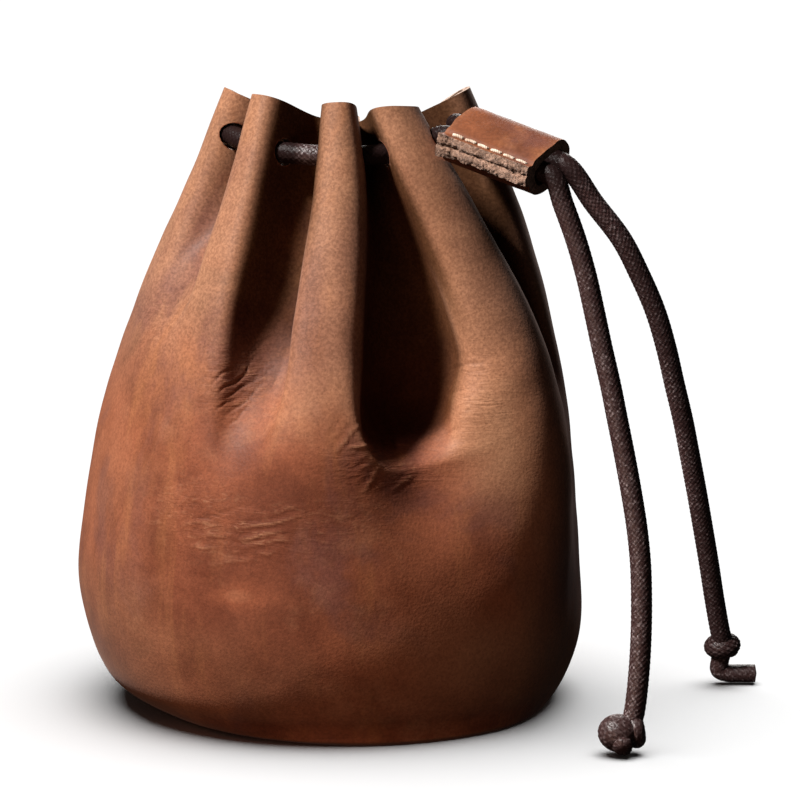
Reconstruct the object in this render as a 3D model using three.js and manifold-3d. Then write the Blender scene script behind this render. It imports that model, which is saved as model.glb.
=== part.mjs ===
// Leather drawstring pouch standing on its base, with its mouth gathered by a round waxed cord.
// Millimetres, +Z up. The origin is on the floor under the middle of the belly.
// -Y is the front, +X is to the right of someone who looks at the front.

import * as THREE from 'three';
import { mergeVertices } from 'three/addons/utils/BufferGeometryUtils.js';
import Module from 'manifold-3d';

const wasm = await Module();
wasm.setup();

// Driving dimensions
const HEIGHT = 125;            // floor to the gathered rim
const LEATHER = 1.6;           // wall and base of the pouch
const RIM_DIP = 5;             // how far the rim sinks from a ridge into a fold
const TURN_START = 76;         // height above which ridges and folds lean to their place at the rim
const FLANK_STEPS = 5;         // facets from a fold to its ridge
const RINGS = 19;              // levels from the edge of the base to the rim

const CORD = 4.2;              // diameter of the waxed cord
const CORD_SIDES = 8;
const HOLE = 5.4;              // diameter of the punched cord holes
const HOLE_STEPS = 60;         // lengthwise steps of the cutter for the holes
const LOOP_STEPS = 40;         // lengthwise steps of the cord round the mouth
const END_STEPS = 18;          // lengthwise steps of each free end
const JOIN_GAP = 0.3;          // between lengths of cord that meet end to end

const SLIDER_LEATHER = 2;      // folded strip of the slider
const SLIDER_SLOPE = 0.5;      // how far its top falls from the cords to the raw edges
const SLIDER_ROOM = 0.45;      // clearance round each cord inside it
const SLIDER_LEAD = 0.12;      // straight cord past each end of it, as a share of its length
const SLIDER_GUIDE = 0.2;      // straight cord inside each end of it, as a share of its length
const SLIDER_ARC = 5;          // facets of its round bends

// Outline of the filled pouch, from the flat of the base to the rim.
// lean is how far the middle of the section lies to the right.
const OUTLINE = [
  { height: 0, radius: 35.4, lean: 6.5 },
  { height: 1.2, radius: 40.4, lean: 4.4 },
  { height: 5, radius: 46.3, lean: 1.9 },
  { height: 14.5, radius: 50.3, lean: 0.9 },
  { height: 28, radius: 51.5, lean: -0.2 },
  { height: 57, radius: 48, lean: 0.8 },
  { height: 82, radius: 42, lean: 2.3 },
  { height: 104, radius: 33.8, lean: 3.5 },
  { height: HEIGHT, radius: 25, lean: 3.5 },
];
const BASE_FORWARD = 7.7;      // how far the flat of the base lies to the front
const BASE_ROUND = 5;          // height at which the section is back over the origin

// Ridges round the mouth, each with the fold on its right. Angles are in degrees from the front to the
// right: a ridge's at the foot of the gather and at the rim, and a fold's at its foot, halfway and at the
// rim. top is the height of the ridge's rim. foot is the height where the fold begins, opening the height
// over which it opens, depth its depth at the rim, and early the share of that depth which it has once it
// is open. near and far are where its left and right flanks stand, from the fold's line (0) to a ridge's (1),
// at the foot of the gather and at the rim.
const PLEATS = [
  { ridgeFoot: -82, ridgeRim: -75, top: 126, foldFoot: -60, foldHalf: -54, foldRim: -58,
    foot: 74, opening: 40, depth: 11, early: 0.8,
    nearFoot: 0.5, nearRim: 0.4, farFoot: 0.15, farRim: 0.2 },
  { ridgeFoot: -37, ridgeRim: -42, top: 125.9, foldFoot: -24, foldHalf: -17, foldRim: -16.5,
    foot: 52, opening: 39, depth: 13, early: 1.05,
    nearFoot: 0.7, nearRim: 0.6, farFoot: 0.15, farRim: 0.25 },
  { ridgeFoot: -1.5, ridgeRim: -2, top: 125, foldFoot: 18, foldHalf: 32.5, foldRim: 10,
    foot: 54, opening: 13, depth: 12.5, early: 1.3,
    nearFoot: 0.75, nearRim: 0.2, farFoot: 0.25, farRim: 0.2 },
  { ridgeFoot: 54, ridgeRim: 25, top: 124.1, foldFoot: 74, foldHalf: 74, foldRim: 62,
    foot: 57, opening: 38, depth: 11.5, early: 0.6,
    nearFoot: 0.5, nearRim: 0.5, farFoot: 0.25, farRim: 0.4 },
  { ridgeFoot: 92, ridgeRim: 94, top: 125.5, foldFoot: 112, foldHalf: 116, foldRim: 117,
    foot: 62, opening: 36, depth: 12, early: 0.6,
    nearFoot: 0.5, nearRim: 0.4, farFoot: 0.25, farRim: 0.3 },
  { ridgeFoot: 140, ridgeRim: 140, top: 118.6, foldFoot: 157, foldHalf: 165, foldRim: 168,
    foot: 54, opening: 34, depth: 12, early: 0.8,
    nearFoot: 0.6, nearRim: 0.4, farFoot: 0.25, farRim: 0.25 },
  { ridgeFoot: 186, ridgeRim: 186, top: 118.2, foldFoot: 198, foldHalf: 203, foldRim: 203,
    foot: 66, opening: 38, depth: 12, early: 0.7,
    nearFoot: 0.5, nearRim: 0.4, farFoot: 0.25, farRim: 0.3 },
  { ridgeFoot: 217, ridgeRim: 216, top: 118.6, foldFoot: 228, foldHalf: 234, foldRim: 232,
    foot: 58, opening: 34, depth: 12, early: 0.8,
    nearFoot: 0.6, nearRim: 0.4, farFoot: 0.25, farRim: 0.25 },
  { ridgeFoot: 250, ridgeRim: 248, top: 122, foldFoot: 263, foldHalf: 266, foldRim: 267,
    foot: 70, opening: 38, depth: 11.5, early: 0.7,
    nearFoot: 0.5, nearRim: 0.4, farFoot: 0.25, farRim: 0.3 },
];

// Every fold lies over to the right: the flank on its left is gentle, and the ridge on its right overhangs it
const GENTLE_STEEP = 0.8;
const OVERHUNG_STEEP = 1.75;
const TAPER = 18;              // how much higher a fold begins beside its ridge than on its line
const CRISP = 3;               // depth at which a fold's bends are half as crisp as they get
const DRIFT = 12;              // least height over which a fold's line drifts from its foot
const TURN_POWER = 1.5;        // ridges and folds lean slowly at first
const RIM_POWER = 4;           // the rim's waves fade quickly below it

// Soft swellings of the filled pouch, and hollows where the amount is below zero: angle and height of the
// middle, how far each spreads round the pouch in degrees and in height, and the amount
const SWELLINGS = [
  { angle: 53, height: 56, wide: 15, tall: 34, amount: 7.5 },
  { angle: 23, height: 55, wide: 12, tall: 13, amount: -4.8 },
  { angle: -8, height: 58, wide: 12, tall: 15, amount: 1.5 },
  { angle: -27, height: 67, wide: 8, tall: 10, amount: -1.2 },
];

// Slider: middles of its two ends, and the side that its raw edges face
const SLIDER_INNER = new THREE.Vector3(26.6, -19.8, 118.1);
const SLIDER_OUTER = new THREE.Vector3(43.4, -31.2, 112.8);
const SLIDER_EDGE_SIDE = new THREE.Vector3(-0.58, -0.7, -0.4);

// Way of the cord round the mouth, from the right front ridge by the front, left and back to the right ridge
const LOOP_STATIONS = [
  { angle: 44, radius: 23, height: 116 },
  { angle: 25, radius: 22.5, height: 114.5 },
  { angle: -2, radius: 22.5, height: 114 },
  { angle: -40, radius: 23, height: 114.8 },
  { angle: -80, radius: 24.5, height: 117 },
  { angle: -118, radius: 23, height: 113.5 },
  { angle: -156, radius: 23, height: 110.5 },
  { angle: -190, radius: 23, height: 110 },
  { angle: -224, radius: 23, height: 112 },
  { angle: -255, radius: 23, height: 115 },
  { angle: -278, radius: 23.5, height: 117.5 },
];
const LOOP_CENTRE = 3.2;       // to the right of the origin

// Ways of the two free ends below the slider, down to their knots
const FRONT_WAY = [
  [46, -35.5, 106.1], [48.5, -36.3, 99.2], [50.5, -37.2, 92.3], [52.1, -38.2, 85.3], [53.6, -39.2, 78.4],
  [55.2, -40.2, 71.5], [56.6, -41.3, 64.6], [58, -42.3, 57.7], [59.3, -43.4, 50.7], [60.4, -44.5, 43.8],
  [61.1, -45.6, 36.9], [61.3, -46.7, 30], [61.2, -47.9, 23.1], [60.8, -49, 16.1], [59.9, -50.1, 8.4],
];
const SIDE_WAY = [
  [52.2, -30.5, 105.7], [57.7, -28.9, 98.4], [61.5, -26.6, 91], [64.8, -24, 83.4], [67.2, -21.2, 75.6],
  [69.1, -18.2, 67.9], [71.1, -15.1, 60], [72.8, -11.8, 52.1], [74.5, -8.4, 44], [76.1, -4.9, 35.9],
  [77.7, -1.3, 27.6], [79.2, 2.4, 19.3], [80.9, 6, 11.1],
];

// Knots: middle, half sizes of the ball, radius and turn of the wrapped strand, and the tail's points
const KNOT_FACETS = 12;        // round a ball and along a wrapped strand
const KNOT_RINGS = 7;          // from pole to pole of a ball
const TAIL_SHARE = 0.95;       // a tail's diameter as a share of the cord's
const TAIL_STEPS = 3;          // lengthwise steps between two of a tail's points
const KNOTS = [
  { name: 'knot_front', middle: [58.5, -51, 4.3], ball: [4.7, 4.3, 3.6], wrap: 2.2, turn: [60, 25, 0],
    tail: [[57.8, -51.5, 4], [54.8, -54, 2.6]] },
  { name: 'knot_side', middle: [82, 7.6, 8.2], ball: [4, 3.7, 3], wrap: 1.7, turn: [55, -15, 0],
    tail: [[81.8, 8, 7.6], [82.2, 8.8, 3.8], [84.4, 9, 2.4], [88.4, 9, 2.3]] },
];

const COLOURS = {
  leather: 0x7a4428,
  sliderLeather: 0x8a4a2c,
  cord: 0x3a2522,
};

// Solids and meshes

function solidOf(geometry) {
  const bare = geometry.clone();
  bare.deleteAttribute('normal');
  bare.deleteAttribute('uv');
  const merged = mergeVertices(bare, 1e-4);
  return new wasm.Manifold(new wasm.Mesh({
    numProp: 3,
    vertProperties: new Float32Array(merged.attributes.position.array),
    triVerts: new Uint32Array(merged.index.array),
  }));
}

function geometryOf(solid) {
  const mesh = solid.getMesh();
  const geometry = new THREE.BufferGeometry();
  geometry.setAttribute('position', new THREE.BufferAttribute(mesh.vertProperties, 3));
  geometry.setIndex(new THREE.BufferAttribute(mesh.triVerts, 1));
  geometry.computeVertexNormals();
  return geometry;
}

function leatherMaterial(colour) {
  return new THREE.MeshStandardMaterial({ color: colour, roughness: 0.55, metalness: 0 });
}

function cordMaterial() {
  return new THREE.MeshStandardMaterial({ color: COLOURS.cord, roughness: 0.5, metalness: 0 });
}

function named(name, geometry, material) {
  const mesh = new THREE.Mesh(geometry, material);
  mesh.name = name;
  return mesh;
}

// Round tube with flat ends along a smooth curve through the points
function tube(points, diameter, steps) {
  const section = new THREE.Shape();
  section.absarc(0, 0, diameter / 2, 0, 2 * Math.PI);
  return new THREE.ExtrudeGeometry(section, {
    extrudePath: new THREE.CatmullRomCurve3(points, false, 'centripetal'),
    steps,
    curveSegments: CORD_SIDES / 2,
    bevelEnabled: false,
  });
}

// Pouch body

const outline = new THREE.CatmullRomCurve3(
  OUTLINE.map((row) => new THREE.Vector3(row.radius, row.lean, row.height)), false, 'centripetal');

// How far a level has turned from the foot of the gather (0) to the rim (1)
function turnAt(height) {
  return THREE.MathUtils.clamp((height - TURN_START) / (HEIGHT - TURN_START), 0, 1) ** TURN_POWER;
}

// Angle of a fold's line: it drifts from its foot to its place halfway, then turns to its place at the rim
function foldAngle(fold, height) {
  const drift = THREE.MathUtils.smoothstep(height, fold.foot, Math.max(TURN_START, fold.foot + DRIFT));
  const half = THREE.MathUtils.lerp(fold.foldFoot, fold.foldHalf, drift);
  return THREE.MathUtils.lerp(half, fold.foldRim, turnAt(height));
}

// Depth of a fold at a height: it opens from its foot, then deepens evenly up to the rim
function foldDepth(fold, height) {
  const above = Math.max(height - fold.foot, 0);
  const opened = THREE.MathUtils.smoothstep(above, 0, fold.opening);
  return fold.depth * opened * THREE.MathUtils.lerp(fold.early, 1, above / (HEIGHT - fold.foot));
}

// How far the filled pouch stands out of its round outline, at an angle in degrees and a height
function swelling(angle, height) {
  return SWELLINGS.reduce((sum, { angle: middle, height: level, wide, tall, amount }) => {
    const aside = THREE.MathUtils.euclideanModulo(angle - middle + 180, 360) - 180;
    return sum + amount * Math.exp(-((aside / wide) ** 2) - ((height - level) / tall) ** 2);
  }, 0);
}

// Point of the outer face on a level of the outline. share runs along one flank, from its fold to its ridge:
// the radius swells as half a cosine wave, and the angle lingers at both ends so that both are round.
function flankPoint(level, fold, ridge, flank, share) {
  const { x: radius, y: lean, z: height } = level;
  const turn = turnAt(height);
  const depth = foldDepth(fold, height - TAPER * share * share);
  const opened = depth / (depth + CRISP);
  const swell = 0.5 - 0.5 * Math.cos(Math.PI * share);
  const shift = opened * (THREE.MathUtils.lerp(flank.foot, flank.rim, turn) - 0.5);
  const along = share + (opened * flank.steep * Math.sin(2 * Math.PI * share)) / (2 * Math.PI)
    + shift * Math.sin(Math.PI * share);
  const ridgeAngle = THREE.MathUtils.lerp(ridge.ridgeFoot, ridge.ridgeRim, turn);
  const degrees = THREE.MathUtils.lerp(foldAngle(fold, height), ridgeAngle, along);
  const angle = THREE.MathUtils.degToRad(degrees);
  const reach = radius + swelling(degrees, height) - depth * (1 - swell);
  const rim = THREE.MathUtils.lerp(fold.top - RIM_DIP, ridge.top, swell);
  const forward = BASE_FORWARD * Math.max(1 - height / BASE_ROUND, 0) ** 2;
  return new THREE.Vector3(
    lean + reach * Math.sin(angle),
    -reach * Math.cos(angle) - forward,
    height + (rim - HEIGHT) * (height / HEIGHT) ** RIM_POWER,
  );
}

// Closed ring of points on one level, from ridge to fold to next ridge, all the way round
function levelRing(level) {
  const ring = [];
  PLEATS.forEach((pleat, index) => {
    const next = { ...PLEATS[(index + 1) % PLEATS.length] };
    if (next.ridgeRim < pleat.ridgeRim) {
      next.ridgeRim += 360;
      next.ridgeFoot += 360;
    }
    const fold = { ...pleat, top: (pleat.top + next.top) / 2 };
    const gentle = { steep: GENTLE_STEEP, foot: pleat.nearFoot, rim: pleat.nearRim };
    const overhung = { steep: OVERHUNG_STEEP, foot: pleat.farFoot, rim: pleat.farRim };
    for (let step = 0; step < FLANK_STEPS; step += 1) {
      ring.push(flankPoint(level, fold, pleat, gentle, 1 - step / FLANK_STEPS));
    }
    for (let step = 0; step < FLANK_STEPS; step += 1) {
      ring.push(flankPoint(level, fold, next, overhung, step / FLANK_STEPS));
    }
  });
  return ring;
}

// Wall of even thickness: the outer rings and the same rings moved in along the normals
function pouchShell() {
  const outer = [];
  for (let ring = 0; ring <= RINGS; ring += 1) {
    outer.push(levelRing(outline.getPointAt(1 - ring / RINGS)));
  }
  const columns = outer[0].length;
  const baseOuter = new THREE.Vector3(OUTLINE[0].lean, -BASE_FORWARD, 0);
  const down = new THREE.Vector3(0, 0, -1);
  const inner = outer.map((points, ring) => points.map((point, column) => {
    const above = outer[Math.max(ring - 1, 0)][column];
    const below = ring < RINGS ? outer[ring + 1][column] : baseOuter;
    const left = points[(column + columns - 1) % columns];
    const right = points[(column + 1) % columns];
    const across = right.clone().sub(left).normalize();
    const upward = above.clone().sub(below).normalize();
    const normal = ring < RINGS ? across.cross(upward).normalize() : down;
    return point.clone().addScaledVector(normal, -LEATHER);
  }));
  const baseInner = baseOuter.clone().addScaledVector(down, -LEATHER);

  const positions = [];
  const triangles = [];
  const place = (point) => positions.push(point.x, point.y, point.z);
  outer.flat().forEach(place);
  inner.flat().forEach(place);
  place(baseOuter);
  place(baseInner);
  const count = outer.length * columns;
  const at = (skin, ring, column) => skin * count + ring * columns + (column % columns);
  const quad = (a, b, c, d) => triangles.push(a, b, c, a, c, d);
  for (let column = 0; column < columns; column += 1) {
    const next = column + 1;
    for (let ring = 0; ring < RINGS; ring += 1) {
      quad(at(0, ring, column), at(0, ring + 1, column), at(0, ring + 1, next), at(0, ring, next));
      quad(at(1, ring, column), at(1, ring, next), at(1, ring + 1, next), at(1, ring + 1, column));
    }
    quad(at(0, 0, column), at(0, 0, next), at(1, 0, next), at(1, 0, column));
    triangles.push(at(0, RINGS, column), 2 * count, at(0, RINGS, next));
    triangles.push(at(1, RINGS, column), at(1, RINGS, next), 2 * count + 1);
  }
  const geometry = new THREE.BufferGeometry();
  geometry.setAttribute('position', new THREE.Float32BufferAttribute(positions, 3));
  geometry.setIndex(triangles);
  return geometry;
}

// Slider: a strip folded round both cords, its two raw edges sewn together

const sliderAxis = SLIDER_OUTER.clone().sub(SLIDER_INNER);
const sliderLength = sliderAxis.length();
sliderAxis.normalize();
const sliderTop = SLIDER_EDGE_SIDE.clone().cross(sliderAxis).normalize();
const sliderFoldSide = sliderTop.clone().cross(sliderAxis).normalize();

const channel = CORD / 2 + SLIDER_ROOM;
const sliderHalf = channel + SLIDER_LEATHER;
const cordPitch = CORD + SLIDER_ROOM;

// The section lies flat on top, and bulges round the two cords below its raw edges
function sliderGeometry() {
  const foldCord = cordPitch / 2;
  const edgeCord = -cordPitch / 2;
  const top = sliderHalf - SLIDER_SLOPE;
  const bottom = top - 2 * SLIDER_LEATHER;
  const quarter = Math.PI / 2;
  const edgeTurn = Math.PI + Math.asin(-bottom / sliderHalf);
  const section = new THREE.Shape();
  section.moveTo(edgeCord + sliderHalf * Math.cos(edgeTurn), top);
  section.absarc(edgeCord, 0, sliderHalf, edgeTurn, 3 * quarter, false);
  section.absarc(foldCord, 0, sliderHalf, -quarter, quarter, false);
  section.lineTo(edgeCord, sliderHalf);
  section.closePath();
  const bore = new THREE.Path();
  bore.absarc(foldCord, 0, channel, quarter, -quarter, true);
  bore.absarc(edgeCord, 0, channel, -quarter, -3 * quarter, true);
  section.holes.push(bore);
  return new THREE.ExtrudeGeometry(section, {
    depth: sliderLength,
    curveSegments: SLIDER_ARC,
    bevelEnabled: false,
  });
}

// Point in one of the slider's two channels (0 by the fold, 1 by the raw edges), a share along its length
function inSlider(side, share) {
  return SLIDER_INNER.clone()
    .addScaledVector(sliderAxis, sliderLength * share)
    .addScaledVector(sliderFoldSide, (0.5 - side) * cordPitch);
}

// Cord

const joinShare = JOIN_GAP / 2 / sliderLength;

function loopPoints() {
  const round = LOOP_STATIONS.map(({ angle, radius, height }) => {
    const turn = THREE.MathUtils.degToRad(angle);
    return new THREE.Vector3(LOOP_CENTRE + radius * Math.sin(turn), -radius * Math.cos(turn), height);
  });
  return [
    inSlider(1, 0.5 - joinShare),
    inSlider(1, SLIDER_GUIDE),
    inSlider(1, -SLIDER_LEAD),
    ...round,
    inSlider(0, -SLIDER_LEAD),
    inSlider(0, SLIDER_GUIDE),
    inSlider(0, 0.5 - joinShare),
  ];
}

function endPoints(side, way) {
  return [
    inSlider(side, 0.5 + joinShare),
    inSlider(side, 1 - SLIDER_GUIDE),
    inSlider(side, 1 + SLIDER_LEAD),
    ...way.map((point) => new THREE.Vector3(...point)),
  ];
}

// Stopper knot: a ball of turned cord with one strand wrapped round it and a cut tail
function knotGeometry({ middle, ball, wrap, turn, tail }) {
  const place = new THREE.Matrix4().makeTranslation(...middle);
  const core = new THREE.SphereGeometry(1, KNOT_FACETS, KNOT_RINGS).scale(...ball);
  const angles = turn.map(THREE.MathUtils.degToRad);
  const tilt = new THREE.Matrix4().makeRotationFromEuler(new THREE.Euler(...angles));
  const strand = new THREE.TorusGeometry(wrap, CORD / 2, CORD_SIDES, KNOT_FACETS).applyMatrix4(tilt);
  core.applyMatrix4(place);
  strand.applyMatrix4(place);
  const tailPoints = tail.map((point) => new THREE.Vector3(...point));
  const end = tube(tailPoints, CORD * TAIL_SHARE, TAIL_STEPS * (tail.length - 1));
  return geometryOf(solidOf(core).add(solidOf(strand)).add(solidOf(end)));
}

// Assembly

const pouch = new THREE.Group();

const holes = solidOf(tube(loopPoints(), HOLE, HOLE_STEPS));
const body = geometryOf(solidOf(pouchShell()).subtract(holes));
pouch.add(named('pouch_body', body, leatherMaterial(COLOURS.leather)));

const slider = named('cord_slider', sliderGeometry(), leatherMaterial(COLOURS.sliderLeather));
slider.position.copy(SLIDER_INNER);
slider.setRotationFromMatrix(new THREE.Matrix4().makeBasis(sliderFoldSide, sliderTop, sliderAxis));
pouch.add(slider);

pouch.add(named('drawstring_loop', tube(loopPoints(), CORD, LOOP_STEPS), cordMaterial()));
pouch.add(named('drawstring_end_front', tube(endPoints(1, FRONT_WAY), CORD, END_STEPS), cordMaterial()));
pouch.add(named('drawstring_end_side', tube(endPoints(0, SIDE_WAY), CORD, END_STEPS), cordMaterial()));
KNOTS.forEach((knot) => pouch.add(named(knot.name, knotGeometry(knot), cordMaterial())));

export default pouch;
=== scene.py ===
"""Leather drawstring pouch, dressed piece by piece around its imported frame."""
import math

import bpy
import numpy as np
from bpy.props import FloatProperty, FloatVectorProperty, PointerProperty
from mathutils import Euler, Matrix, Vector, noise


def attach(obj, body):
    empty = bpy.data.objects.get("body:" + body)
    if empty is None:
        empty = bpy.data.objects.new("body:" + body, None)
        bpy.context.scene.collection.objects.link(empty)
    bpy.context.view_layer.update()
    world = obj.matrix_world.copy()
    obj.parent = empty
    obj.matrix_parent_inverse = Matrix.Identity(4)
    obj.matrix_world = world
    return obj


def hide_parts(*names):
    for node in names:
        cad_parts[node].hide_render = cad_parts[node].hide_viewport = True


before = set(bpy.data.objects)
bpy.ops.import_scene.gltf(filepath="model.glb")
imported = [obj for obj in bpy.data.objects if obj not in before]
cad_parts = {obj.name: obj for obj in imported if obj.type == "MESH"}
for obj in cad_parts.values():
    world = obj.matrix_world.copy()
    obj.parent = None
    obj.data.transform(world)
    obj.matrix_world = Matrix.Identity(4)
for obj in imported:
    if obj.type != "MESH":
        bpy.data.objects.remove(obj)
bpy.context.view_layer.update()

bl_info = {
    "name": "Drawstring pouch",
    "version": (1, 0, 0),
    "blender": (4, 5, 0),
    "location": "3D View > Sidebar > Pouch",
    "description": "Builds a gathered leather pouch with braided cords, stopper knots and a sewn slider",
    "category": "Object",
}

MM = 0.001

# Outline of the filled pouch in millimetres: radius, how far the section lies to the right, and height
HEIGHT = 125.0
OUTLINE = (
    (35.4, 6.5, 0), (40.4, 4.4, 1.2), (46.3, 1.9, 5), (50.3, 0.9, 14.5), (51.5, -0.2, 28),
    (48, 0.8, 57), (42, 2.3, 82), (33.8, 3.5, 104), (25, 3.5, HEIGHT),
)
BASE_FORWARD = 7.7
BASE_ROUND = 5.0
RIM_DIP = 5.0
RIM_POWER = 4
TURN_START = 76.0
TURN_POWER = 1.5
TAPER = 18.0
CRISP = 3.0
DRIFT = 12.0
GENTLE_STEEP = 0.8
OVERHUNG_STEEP = 1.75
# Painted shade of the folds: depths over which it grows, depths over which it grows past the flanks' edge
# depths, and heights over which that rises towards the mouth
DARK_FADE = 5.0
EDGE_FADE = 2.6
EDGE_RISE = 22.0

# Ridges round the mouth, each with the fold on its right: angles in degrees, heights and depths in
# millimetres, where the fold's two flanks stand, how many columns of the mesh each flank gets, the depths
# below which its two flanks are painted with shade, and the depths and heights from which they are so painted
# towards the mouth
PLEAT_COLUMNS = (
    "ridge_foot", "ridge_rim", "top", "fold_foot", "fold_half", "fold_rim", "foot", "opening", "depth",
    "early", "near_foot", "near_rim", "far_foot", "far_rim", "steps", "near_dark",
    "far_dark", "near_edge", "far_edge", "near_top", "far_top",
)
PLEAT_ROWS = (
    (-82, -75, 126, -60, -54, -58, 74, 40, 11, 0.8, 0.5, 0.4, 0.15, 0.2, 18, 4.5, 4.5, 20, 20, 0, 0),
    (-37, -42, 125.9, -24, -17, -16.5, 52, 39, 13, 1.05, 0.7, 0.6, 0.15, 0.25, 42, 7, 7, 0.1, 0.2, 86, 112),
    (-1.5, -2, 125, 18, 32.5, 10, 54, 13, 12.5, 1.3, 0.75, 0.2, 0.25, 0.2, 30, 0.8, 3.5, 20, 1.6, 0, 96),
    (54, 25, 124.1, 74, 74, 62, 57, 38, 11.5, 0.6, 0.5, 0.5, 0.25, 0.4, 18, 4, 0.3, 20, 20, 0, 0),
    (92, 94, 125.5, 112, 116, 117, 62, 36, 12, 0.6, 0.5, 0.4, 0.25, 0.3, 13, 4, 4, 20, 20, 0, 0),
    (140, 140, 118.6, 157, 165, 168, 54, 34, 12, 0.8, 0.6, 0.4, 0.25, 0.25, 10, 4, 4, 20, 20, 0, 0),
    (186, 186, 118.2, 198, 203, 203, 66, 38, 12, 0.7, 0.5, 0.4, 0.25, 0.3, 9, 4, 4, 20, 20, 0, 0),
    (217, 216, 118.6, 228, 234, 232, 58, 34, 12, 0.8, 0.6, 0.4, 0.25, 0.25, 9, 4, 4, 20, 20, 0, 0),
    (250, 248, 122, 263, 266, 267, 70, 38, 11.5, 0.7, 0.5, 0.4, 0.25, 0.3, 11, 4, 4, 20, 20, 0, 0),
)
PLEATS = [dict(zip(PLEAT_COLUMNS, row)) for row in PLEAT_ROWS]
FOLD_KEYS = ("fold_foot", "fold_half", "fold_rim", "foot", "opening", "depth", "early")
FLANK_KEYS = ("foot", "rim", "dark", "edge", "top")
# Soft swellings of the filled pouch, and hollows where the amount is below zero: angle in degrees, height,
# how far each spreads in degrees and in millimetres, and the amount in millimetres
SWELLINGS = (
    (53, 56, 15, 34, 7.5),
    (23, 55, 12, 13, -4.8),
    (-8, 58, 12, 15, 1.5),
    (-27, 67, 8, 10, -1.2),
)
OUTER_ROWS = 272
ROW_DENSITY = (
    (0, 0.9), (8, 0.5), (28, 0.6), (38, 1.5), (56, 1.5), (62, 2.4), (84, 2.4), (92, 1.2), (HEIGHT, 0.9),
)
INNER_EVERY = 13
BASE_RINGS = 6
SHARP_FOLD = 55
# Uneven places of the wall: two sizes of dents, the second's share, and the ragged rim, in millimetres, with
# the heights between which the dents grow out of the base, fade at the rim, and the rim turns ragged
DENT_BROAD = 24.0
DENT_SMALL = 8.0
DENT_SHARE = 0.4
DENTS_GROW = (2, 14)
DENTS_FADE = (112, 124)
FADED_SHARE = 0.6
RAGGED_RIM = 0.35
RAGGED_FROM = (117, 125)
# Points of the mesh over which a place stands out, and the millimetres that count as fully worn or creased
WEAR_REACH = 9
WEAR_FULL = 0.9
CREASE_FULL = 0.32
# Heights between which the rim turns worn and the leather takes its gathered colour, and how strongly
RIM_WORN_FROM = (122.5, 125)
RIM_WORN = 0.5
GATHERED_FROM = (58, 90)
GATHERED_SHARE = 0.8

# Heights on the front are taken level with the belly's front, which the eye sees from a little above
FRONT = 44.0
LOOK_DOWN = 0.169
# Where the front begins, the angle past which each hidden fold has a few creases, and a crease's lips
FRONT_START = 6.0
HIDDEN_FROM = 66
HIDDEN_CREASES = 4
LIP_ASIDE = 2.2
LIP_WIDTH = 1.3
LIP_SHARE = 0.2
# Creases of the front: both ends (x, z), width, and depth, which is below zero where the leather stands up
CREASES = (
    (-21.5, 69.9, -15.4, 74.7, 0.26, 0.24), (-20.3, 68.6, -11.5, 76.0, 0.28, 0.28),
    (-19.8, 65.5, -11.1, 73.8, 0.26, 0.24), (-18.1, 72.0, -12.9, 79.0, 0.26, 0.24),
    (-16.8, 75.5, -12.0, 81.2, 0.26, 0.22), (-22.0, 66.4, -17.6, 69.9, 0.24, 0.18),
    (-15.1, 71.2, -10.3, 76.4, 0.26, 0.22), (-19.4, 63.8, -15.8, 66.9, 0.24, 0.16),
    (-16.0, 77.2, -13.2, 81.4, 0.24, 0.18), (-22.8, 71.8, -18.6, 75.6, 0.26, 0.2),
    (-13.2, 69.8, -9.2, 73.9, 0.24, 0.16), (-16.9, 66.0, -12.6, 70.6, 0.24, 0.16),
    (1.0, 58.2, 6.8, 64.3, 0.34, -0.2), (3.6, 59.1, 9.3, 60.6, 0.34, -0.18),
    (6.6, 50.7, 10.8, 56.0, 0.34, -0.17), (12.2, 50.8, 18.4, 56.4, 0.34, -0.18),
    (4.6, 54.6, 8.6, 58.6, 0.28, 0.11), (14.6, 53.4, 21.4, 58.9, 0.28, 0.1),
    (9.0, 55.5, 13.5, 60.2, 0.28, 0.1), (0.0, 61.5, 3.4, 66.5, 0.3, 0.16),
    (20.0, 60.0, 27.0, 64.0, 0.38, 0.16), (24.0, 70.0, 30.0, 73.0, 0.34, 0.16),
    (23.0, 74.5, 33.0, 78.0, 0.34, 0.14), (26.0, 66.0, 34.0, 70.0, 0.34, 0.14),
    (-19.5, 43.6, -3.5, 46.2, 0.34, -0.18), (-18.6, 41.6, -7.2, 43.2, 0.34, -0.2),
    (-27.5, 39.6, -20.6, 40.2, 0.34, -0.16), (-14.0, 38.4, -9.0, 39.6, 0.32, -0.14),
    (-30.0, 44.0, -22.0, 45.0, 0.34, -0.13), (-24.0, 36.6, -13.0, 37.4, 0.32, -0.12),
    (-24.0, 46.0, -13.0, 48.4, 0.34, 0.1), (-21.0, 40.6, -9.0, 41.6, 0.32, 0.1),
    (-26.5, 42.2, -17.0, 42.6, 0.3, -0.14), (-16.5, 39.8, -6.0, 41.9, 0.3, -0.16),
    (-12.0, 46.6, -4.6, 48.2, 0.3, -0.12), (-31.0, 47.5, -24.5, 50.6, 0.32, -0.1),
    (-31.5, 90.5, -25.5, 94.5, 0.34, 0.22), (-32.5, 87.0, -27.0, 91.0, 0.34, 0.2),
    (-34.5, 84.5, -28.5, 87.5, 0.32, 0.16), (-36.0, 80.5, -32.0, 83.0, 0.32, 0.14),
)
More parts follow.
